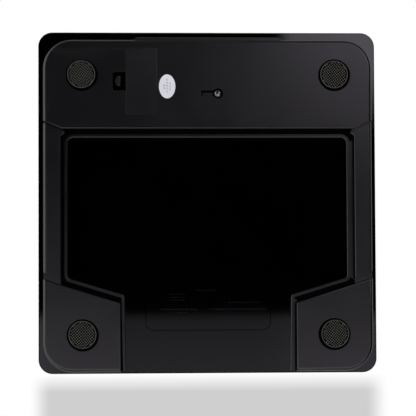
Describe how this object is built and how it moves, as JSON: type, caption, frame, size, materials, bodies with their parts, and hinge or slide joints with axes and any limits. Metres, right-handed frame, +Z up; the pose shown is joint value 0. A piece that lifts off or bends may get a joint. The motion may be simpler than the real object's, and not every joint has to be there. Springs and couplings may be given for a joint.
{
  "type": "digital bathroom scale",
  "caption": "Square glass platform weighing scale with a moulded casing, pressed corner feet over load cells, a hinged battery cover, a unit button and a display under the glass.",
  "frame": {"origin": "on the floor under the middle of the glass plate", "axes": "+Z up through the platform, +Y toward the display end, +X to the right of a person standing on it and facing the display"},
  "size_m": [0.3, 0.303, 0.0235],
  "materials": {
    "glass": "polished tempered glass",
    "ink": "opaque black ink fired on the underside of the glass",
    "tape": "black foam tape",
    "casing_plastic": "fine spark-eroded moulded texture, satin sheen",
    "label_film": "thin black film with a faint rounded outline",
    "sticker_vinyl": "smooth white vinyl",
    "cover_plastic": "same moulded texture as the casing",
    "cell_wrap": "printed film sleeve, plain",
    "contact_nickel": "nickel-plated spring steel",
    "battery_wire": "vinyl insulation",
    "circuit_board": "green solder mask",
    "resin": "black epoxy",
    "tin_can": "tin-plated steel",
    "capacitor_sleeve": "printed film sleeve, plain",
    "white_plastic": "moulded",
    "button_metal": "domed, polished, lightly worn",
    "display_glass": "polarised display glass",
    "diffuser": "frosted light guide",
    "zebra_rubber": "soft silicone strip",
    "screw_steel": "zinc-plated",
    "bracket_plastic": "moulded",
    "sensor_steel": "stamped and nickel-plated",
    "gauge_seal": "white silicone sealant",
    "cup_plastic": "moulded",
    "pad_rubber": "fine raised diamond grip pattern",
    "sensor_wire": "vinyl insulation"
  },
  "bodies": {
    "base": {"glass_plate": "glass", "print_layer": "ink", "mount_tape": "tape", "casing": "casing_plastic", "spec_label": "label_film", "check_sticker": "sticker_vinyl", "cell_left": "cell_wrap", "cell_right": "cell_wrap", "contact_link": "contact_nickel", "contact_plus": "contact_nickel", "contact_minus": "contact_nickel", "spring_left": "contact_nickel", "spring_right": "contact_nickel", "battery_leads": "battery_wire", "main_board": "circuit_board", "chip_cap": "resin", "crystal": "tin_can", "capacitor": "capacitor_sleeve", "switch_body": "tin_can", "lcd_holder": "white_plastic", "lcd_panel": "display_glass", "lcd_backlight": "diffuser", "zebra_upper": "zebra_rubber", "zebra_lower": "zebra_rubber", "screw_1": "screw_steel", "screw_2": "screw_steel", "screw_3": "screw_steel", "screw_4": "screw_steel", "bracket_fl": "bracket_plastic", "bracket_fr": "bracket_plastic", "bracket_rl": "bracket_plastic", "bracket_rr": "bracket_plastic", "load_cell_fl": "sensor_steel", "load_cell_fr": "sensor_steel", "load_cell_rl": "sensor_steel", "load_cell_rr": "sensor_steel", "gauge_fl": "gauge_seal", "gauge_fr": "gauge_seal", "gauge_rl": "gauge_seal", "gauge_rr": "gauge_seal", "foot_cup_fl": "cup_plastic", "foot_cup_fr": "cup_plastic", "foot_cup_rl": "cup_plastic", "foot_cup_rr": "cup_plastic", "foot_pad_fl": "pad_rubber", "foot_pad_fr": "pad_rubber", "foot_pad_rl": "pad_rubber", "foot_pad_rr": "pad_rubber", "leads_fl": "sensor_wire", "leads_fr": "sensor_wire", "leads_rl": "sensor_wire", "leads_rr": "sensor_wire"},
    "cover": {"battery_cover": "cover_plastic"},
    "button": {"unit_button": "button_metal", "switch_stem": "white_plastic"}
  },
  "joints": [
    {"name": "cover_hinge", "type": "hinge", "parent": "base", "child": "cover", "pos_m": [0.0456, 0.1064, 0.00415], "axis": [0, 1, 0], "range_deg": [0, 70]},
    {"name": "unit_press", "type": "slide", "parent": "base", "child": "button", "axis": [0, 0, 1], "range_m": [0, 0.0004], "stiffness_N_per_m": 4000}
  ]
}
